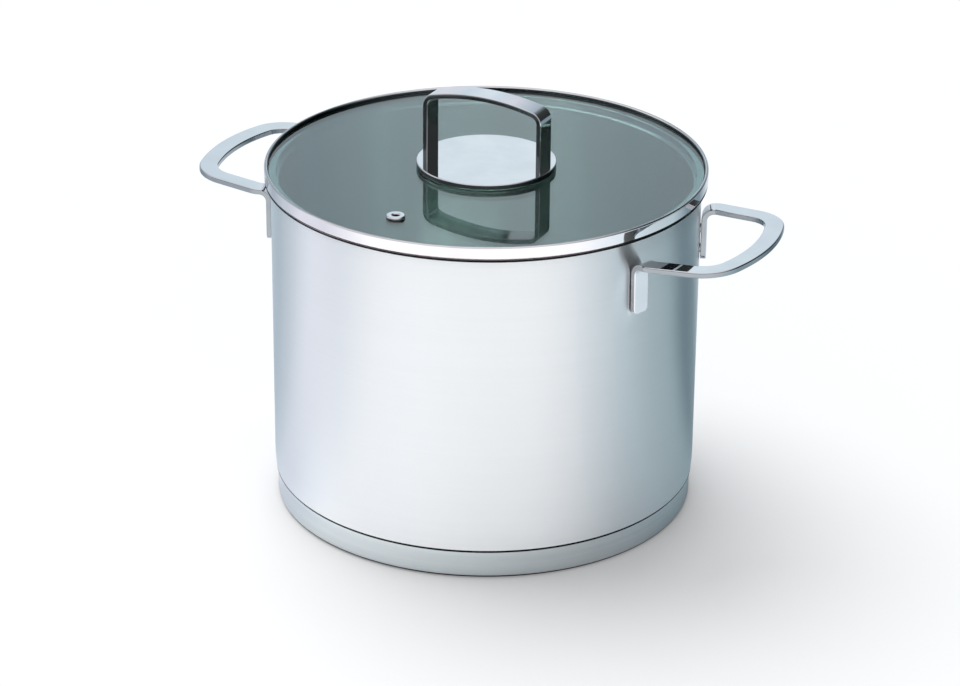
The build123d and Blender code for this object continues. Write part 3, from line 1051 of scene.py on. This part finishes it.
# ---- lid ----
@dataclass
class GlassLid:
    """The flat glass, the steel band round it and the collar that guides it into the pot."""

    rim_z: float = RIM_Z
    wall_in_r: float = 119.7
    lid_r: float = 124.2
    band_t: float = 1.9
    band_rise: float = 2.2
    band_gap: float = 1.1
    seat_in: float = 1.2
    hem_w: float = 1.9
    lip_r: float = 0.9
    ledge_h: float = 1.3
    ledge_t: float = 0.8
    glass_t: float = GLASS_T
    glass_gap: float = 0.5
    seal_short: float = 0.4
    seal_grip: float = 0.12  # the bead wets the ground edge of the glass by this
    ledge_play: float = 0.05  # the glass rests this far above the shelf
    collar_t: float = 0.8
    collar_gap: float = 1.4
    collar_depth: float = 4.4
    bead_w: float = 2.4
    bead_t: float = 1.2
    bead_edge_r: float = 0.5
    foot_edge_r: float = 0.3
    collar_edge_r: float = 0.35
    fold_r: float = 0.15  # of the tightest folds
    hollow_way: Point = (-0.8, -0.6)  # the way that the seal's hollow top leaves the band

    def band(self) -> list[Run]:
        """The closed section of the band, the shelf and the collar.

        Returns:
            Its bright runs, its inner side painted darker as shade, and its folded hem painted near
            black as shade.
        """
        ledge_z = self.rim_z + self.ledge_h - self.ledge_play
        under_z = self.rim_z + self.ledge_h - self.ledge_t
        top_z = self.rim_z + self.ledge_h + self.glass_t + self.band_rise
        band_in = self.lid_r - self.band_t
        collar_r = self.wall_in_r - self.collar_gap
        collar_in, bead_in = collar_r - self.collar_t, collar_r - self.bead_w
        foot_z = self.rim_z - self.collar_depth
        fold, collar_edge = self.fold_r, self.collar_edge_r
        points = rounded([
            (self.lid_r, self.rim_z + self.band_gap, self.foot_edge_r),
            (self.lid_r, top_z, self.lip_r),
            (band_in, top_z, self.lip_r),
            (band_in, ledge_z, fold),
            (collar_in, ledge_z, collar_edge),
            (collar_in, foot_z + self.bead_t, self.foot_edge_r),
            (bead_in, foot_z + self.bead_t, self.bead_edge_r),
            (bead_in, foot_z, self.bead_edge_r),
            (collar_r, foot_z, collar_edge),
            (collar_r, under_z, fold),
            (self.lid_r - self.hem_w, under_z, fold),
            (self.lid_r - self.hem_w, self.rim_z, fold),
            (self.lid_r - self.seat_in, self.rim_z, fold),
        ])
        runs: list[Run] = []
        for radius, height in points:
            skin = Skin.MIRROR
            # The hem under the band is painted near black and the band's inner side darker: painted
            # shade.
            if collar_r < radius < self.lid_r - fold and height < under_z + fold:
                skin = Skin.PAINTED_SHADE
            elif abs(radius - band_in) < 2 * fold and height < top_z - self.lip_r + HOLD:
                skin = Skin.PAINTED_EDGE_SHADE
            if not runs or runs[-1].skin is not skin:
                runs.append(Run(skin, []))
            runs[-1].points.append((radius, height))
        return runs

    def seal(self) -> list[Point]:
        """The section of the bead between the glass and the band, with a hollow top.

        Returns:
            The points.
        """
        low = self.rim_z + self.ledge_h
        high = low + self.glass_t - self.seal_short
        out_r = self.lid_r - self.band_t
        in_r = out_r - self.glass_gap - self.seal_grip
        top = arc((out_r, high), self.hollow_way, (in_r, high), SMALL_STEPS)
        return [(in_r, low), (out_r, low), *top]

    def make(self) -> None:
        """Build the band and the seal, and dress the glass."""
        settle(spin("lid_band", self.band()), "lid", Skin.MIRROR, "lid_rim")
        seal = spin("seal_bead", [Run(Skin.SEAL, self.seal())])
        settle(seal, "lid", Skin.SEAL, "glass_seal")
        dress_node("lid_glass", Skin.GLASS)


@dataclass
class BridgeHandle:
    """The disc on the glass, the bridge strap on it, and what clamps them to the glass."""

    disc_r: float = 39.2
    disc_t: float = 3.2
    disc_z: float = 198.0
    disc_edge_r: float = 0.5
    length: float = 73.2
    width: float = 14.0
    height: float = 39.2
    thick: float = 2.9
    arch_r: float = 127.0
    arch_steps: int = 12  # from a corner to the middle
    corner_r: float = 7.0
    edge_r: float = 0.6
    turn_step: float = 3.0  # degrees of half a corner's turn between stations
    disc_facets: int = 192

    def disc(self) -> list[Run]:
        """The closed section of the disc.

        Returns:
            Its bright faces and its edge, painted darker as shade.
        """
        low, high = self.disc_z, self.disc_z + self.disc_t
        size = self.disc_edge_r
        lower = arc((self.disc_r - size, low), (1, 0), (self.disc_r, low + size), SMALL_STEPS)
        upper = arc((self.disc_r, high - size), (0, 1), (self.disc_r - size, high), SMALL_STEPS)
        side = held([lower[-1], upper[0]])
        return [
            Run(Skin.MIRROR, [(0.0, low), (lower[0][0] - HOLD, low), *lower]),
            Run(Skin.PAINTED_EDGE_SHADE, side[1:]),
            Run(Skin.MIRROR, [*upper[1:], (upper[-1][0] - HOLD, high), (0.0, high)]),
        ]

    def at(self, x: float, z: float, lean: float) -> Station:
        """One station of the strap.

        Args:
            x: how far it is from the middle of the lid.
            z: its height.
            lean: radians between straight up and the way its face looks.

        Returns:
            The station.
        """
        face = Vector((math.sin(lean), 0, math.cos(lean)))
        along = Vector((-math.cos(lean), 0, math.sin(lean)))
        return Station(Vector((x, 0, z)), along, face, self.width, self.thick, self.edge_r)

    def strap(self) -> list[Station]:
        """The strap from foot to foot: leg, corner, low arch, corner, leg.

        Returns:
            The stations.
        """
        foot_z = self.disc_z + self.disc_t
        leg_x = (self.length - self.thick) / 2
        arch_r, corner_r = self.arch_r - self.thick / 2, self.corner_r - self.thick / 2
        arch_z = foot_z + self.height - self.arch_r
        corner = Vector((leg_x - corner_r, 0.0))
        corner.y = arch_z + math.sqrt((arch_r - corner_r) ** 2 - corner.x ** 2)
        leave = math.atan2(corner.x, corner.y - arch_z)
        upright = math.pi / 2
        half = [self.at(leg_x, foot_z, upright), self.at(leg_x, corner.y - HOLD, upright)]
        steps = round(math.degrees(upright - leave) / (2 * self.turn_step))
        for step in range(steps + 1):
            lean = upright + (leave - upright) * step / steps
            x, z = corner.x + corner_r * math.sin(lean), corner.y + corner_r * math.cos(lean)
            half.append(self.at(x, z, lean))
        for step in range(1, self.arch_steps + 1):
            lean = leave * (1 - step / self.arch_steps)
            half.append(self.at(arch_r * math.sin(lean), arch_z + arch_r * math.cos(lean), lean))
        return mirrored(half, Matrix.Diagonal((-1, 1, 1)))

    def make(self) -> None:
        """Build the disc and the strap, and dress the small parts under them."""
        disc = spin("handle_disc", self.disc(), self.disc_facets)
        settle(disc, "lid", Skin.MIRROR, "lid_disc")
        # The strap's narrow sides get the darker finish: painted shade.
        strap = sweep("bridge_strap", self.strap(), Skin.MIRROR, Skin.PAINTED_EDGE_SHADE)
        settle(strap, "lid", Skin.MIRROR, "lid_handle")
        for node in ("lid_boss", "lid_washer", "lid_lock_washer", "lid_screw"):
            dress_node(node, Skin.SCREW)
        for node in ("disc_gasket", "inner_gasket"):
            dress_node(node, Skin.SEAL)


@dataclass
class SteamVent:
    """The eyelet through the glass that lets steam out."""

    at_r: float = 91.8
    angle: float = -95.5
    hole_r: float = 2.0
    tube_r: float = 3.2
    flange_r: float = 5.3
    flange_t: float = 1.7
    flange_edge_r: float = 0.75
    foot_r: float = 4.7
    foot_t: float = 0.8
    washer_t: float = 0.6
    glass_z: float = 193.5
    glass_t: float = GLASS_T
    hole_edge_r: float = 0.2
    foot_edge_r: float = 0.25
    foot_fold_r: float = 0.15
    facets: int = 72

    def make(self) -> None:
        """Build the eyelet, put it on the lid, and dress its washer."""
        foot_z = self.glass_z - self.washer_t - self.foot_t
        glass_top = self.glass_z + self.glass_t
        top_z = glass_top + self.flange_t
        edge = self.flange_edge_r
        outline = rounded([
            (self.hole_r, foot_z, self.hole_edge_r),
            (self.foot_r, foot_z, self.foot_edge_r),
            (self.foot_r, foot_z + self.foot_t, self.foot_fold_r),
            (self.tube_r, foot_z + self.foot_t, 0.0),
            (self.tube_r, glass_top, 0.0),
            (self.flange_r, glass_top, edge),
            (self.flange_r, top_z, edge),
            (self.hole_r, top_z, edge),
        ])
        eyelet = spin("steam_eyelet", [Run(Skin.MIRROR, outline)], self.facets)
        turn = Matrix.Rotation(math.radians(self.angle), 4, "Z")
        eyelet.data.transform(turn @ Matrix.Translation((self.at_r * MM, 0, 0)))
        settle(eyelet, "lid", Skin.MIRROR, "vent_eyelet")
        dress_node("vent_washer", Skin.SEAL)


# ---- studio ----
def ray(turn: float, height: float) -> Vector:
    """The way that two angles point to.

    Args:
        turn: degrees from +X, anticlockwise.
        height: degrees up from level.

    Returns:
        A vector of length 1.
    """
    turn, height = math.radians(turn), math.radians(height)
    level = math.cos(height)
    return Vector((math.cos(turn) * level, math.sin(turn) * level, math.sin(height)))


@dataclass
class Studio:
    """A pale floor, a soft lamp, a pale room with one dark side, and the camera."""

    floor_half: float = 9.0  # metres
    floor_colour: str = "#E4E4E4"
    floor_top_up: float = 0.2  # share of plain white that camera rays see on the floor
    lamp_strength: float = 2.75
    lamp_spread: float = 50.0
    lamp_turn: float = 153.0
    lamp_height: float = 64.0
    fill: float = 0.82  # share of the room's light that matt surfaces get
    ceiling: str = "#EDEFF5"
    wall_top: float = 45.0  # degrees up, where the room's walls begin to turn into the ceiling
    ceiling_from: float = 70.0
    upper: Surround = (  # what metal and glass mirror of the walls, by degrees round the pot
        (-180.0, "#D7D8DF"), (-168.0, "#F6F7FC"), (-156.0, "#F8F9FC"), (-144.0, "#CBCDD0"),
        (-126.0, "#CBCDD3"), (-100.0, "#E5E5E7"), (-40.0, "#E5E6E7"), (-20.0, "#C8CBCE"),
        (0.0, "#939799"), (17.0, "#555D5D"), (34.0, "#1D2222"), (60.0, "#303535"),
        (76.0, "#3F4545"), (90.0, "#7C898E"), (94.0, "#89979E"), (105.0, "#C2D3DF"),
        (110.0, "#E5ECF6"), (113.2, "#D7EBF6"), (115.3, "#E6F7FF"), (117.3, "#E6F7FF"),
        (119.4, "#D7EBF6"), (122.5, "#E6ECF6"), (127.0, "#C2D4E1"), (138.0, "#ADBFC8"),
        (162.0, "#AAAFB6"), (180.0, "#D7D8DF"),
    )
    ground: Surround = (  # and of the floor: painted shade, darkest from 38 to 84 degrees, that only mirror and glass rays see
        (-180.0, "#B8C2CB"), (-178.0, "#B8C2CB"), (-163.0, "#D7DAE2"), (-147.0, "#D4D7DF"),
        (-132.0, "#E7EAEF"), (-117.0, "#FDFDFD"), (-32.0, "#FFFFFF"), (-20.0, "#F6FAFC"),
        (-6.0, "#E3ECF0"), (8.0, "#D1DFE5"), (22.0, "#BCCBD0"), (38.0, "#ADBFC5"),
        (52.0, "#73868E"), (68.0, "#768B93"), (84.0, "#C5CED4"), (110.0, "#DAE1E7"),
        (149.0, "#B5C0C8"), (165.0, "#9EACB5"), (180.0, "#B8C2CB"),
    )
    distance: float = 2.0  # metres from the middle of the sole
    azimuth: float = 26.45  # of the camera, from -Y
    elevation: float = 26.67
    look_down: float = 24.36
    look_aside: float = -0.0875
    roll: float = 0.4765
    lens: float = 128.5
    sensor: float = 36.0

    def light_the_world(self) -> None:
        """White behind the object, and soft walls and ceiling for all that it mirrors."""
        world = bpy.data.worlds.new("studio")
        bpy.context.scene.world = world
        world.cycles.sampling_method = "NONE"
        tree = fresh_tree(world)
        path = add_node(tree, "LightPath").outputs
        way = add_node(tree, "TexCoord").outputs["Generated"]
        height = add_node(tree, "SeparateXYZ", {0: way}).outputs["Z"]
        around = self.round_about(tree, way, self.upper)
        low, high = (math.sin(math.radians(level)) for level in (self.wall_top, self.ceiling_from))
        rise = add_node(
            tree,
            "MapRange",
            {"Value": height, "From Min": low, "From Max": high},
            interpolation_type="SMOOTHSTEP",
        )
        room = add_node(tree, "MixRGB", {"Fac": rise, 1: around, 2: linear(self.ceiling)})
        seen = add_node(tree, "MixRGB", {"Fac": path["Is Camera Ray"], 1: room, 2: linear(WHITE)})
        strength = add_node(
            tree, "MapRange", {"Value": path["Is Diffuse Ray"], "To Min": 1.0, "To Max": self.fill}
        )
        glow = add_node(tree, "Background", {"Color": seen, "Strength": strength})
        add_node(tree, "OutputWorld", {"Surface": glow})

    def round_about(self, tree: Tree, way: Socket, colours: Surround) -> Node:
        """A colour that changes with the direction round the pot.

        Args:
            tree: the node tree.
            way: a direction or a place, from the pot's axis.
            colours: the colours to pass through.

        Returns:
            The node that gives the colour.
        """
        parts = add_node(tree, "SeparateXYZ", {0: way}).outputs
        turn = add_node(tree, "Math", {0: parts["Y"], 1: parts["X"]}, operation="ARCTAN2")
        span = {"From Min": -math.pi, "From Max": math.pi}
        share = add_node(tree, "MapRange", {"Value": turn, **span})
        stops = [((angle + 180) / 360, colour) for angle, colour in colours]
        return add_node(tree, "ValToRGB", {"Fac": share}, stops)

    def lay_the_floor(self) -> None:
        """A pale floor that keeps the shadow and is white elsewhere, and shows painted shade round
        the pot to mirror and glass rays.
        """
        mesh = bmesh.new()
        bmesh.ops.create_grid(mesh, x_segments=2, y_segments=2, size=self.floor_half)
        data = bpy.data.meshes.new("floor")
        mesh.to_mesh(data)
        mesh.free()
        paper = bpy.data.materials.new("matt_paper_sweep")
        tree = fresh_tree(paper)
        path = add_node(tree, "LightPath").outputs
        glossy, through = path["Is Glossy Ray"], path["Is Transmission Ray"]
        mirror = add_node(tree, "Math", {0: glossy, 1: through}, operation="MAXIMUM")
        top_up = {0: path["Is Camera Ray"], 1: self.floor_top_up}
        share = add_node(tree, "Math", top_up, operation="MULTIPLY")
        spot = add_node(tree, "TexCoord").outputs["Object"]
        around = self.round_about(tree, spot, self.ground)
        # Mirror and glass rays see the floor in the ground colours: painted shade by direction
        # round the pot.
        colour = add_node(tree, "MixRGB", {"Fac": mirror, 1: linear(self.floor_colour), 2: around})
        lit = add_node(tree, "BsdfDiffuse", {"Color": colour})
        plain = add_node(tree, "Emission", {"Color": linear(WHITE), "Strength": 1.0})
        both = add_node(tree, "MixShader", {0: share, 1: lit, 2: plain})
        add_node(tree, "OutputMaterial", {"Surface": both})
        data.materials.append(paper)
        put_in_scene("floor", data)

    def hang_the_lamp(self) -> None:
        """One broad soft lamp from the left and behind, for the shadow."""
        lamp = bpy.data.lights.new("soft_lamp", "SUN")
        lamp.energy = self.lamp_strength
        lamp.angle = math.radians(self.lamp_spread)
        stand = put_in_scene("soft_lamp", lamp)
        stand.rotation_mode = "QUATERNION"
        to_lamp = ray(self.lamp_turn, self.lamp_height)
        stand.rotation_quaternion = to_lamp.to_track_quat("Z", "Y")
        stand.visible_glossy = False

    def place_the_camera(self) -> None:
        """The camera in front and to the right, looking down on the lid."""
        back = ray(self.azimuth - 90, self.elevation)
        look = ray(self.azimuth + 90 - self.look_aside, -self.look_down)
        side = look.cross(UP).normalized()
        side = Matrix.Rotation(-math.radians(self.roll), 3, look) @ side
        up = side.cross(look)
        data = bpy.data.cameras.new("camera")
        data.lens, data.sensor_width = self.lens, self.sensor
        camera = put_in_scene("camera", data)
        axes = Matrix((side, up, -look)).transposed().to_4x4()
        camera.matrix_world = Matrix.Translation(back * self.distance) @ axes
        bpy.context.scene.camera = camera

    def make(self) -> None:
        """Set up floor, light, camera and the plain view."""
        self.light_the_world()
        self.lay_the_floor()
        self.hang_the_lamp()
        self.place_the_camera()
        bpy.context.scene.view_settings.view_transform = "Standard"


def main() -> None:
    """Build every sub-assembly in order."""
    logging.basicConfig(level=logging.INFO, format="%(name)s: %(message)s")
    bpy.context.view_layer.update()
    for kind in (Studio, Shell, CapsuleBase, LoopHandle, GlassLid, BridgeHandle, SteamVent):
        kind().make()
        log.info("%s done", kind.__name__)


if __name__ == "__main__":
    main()
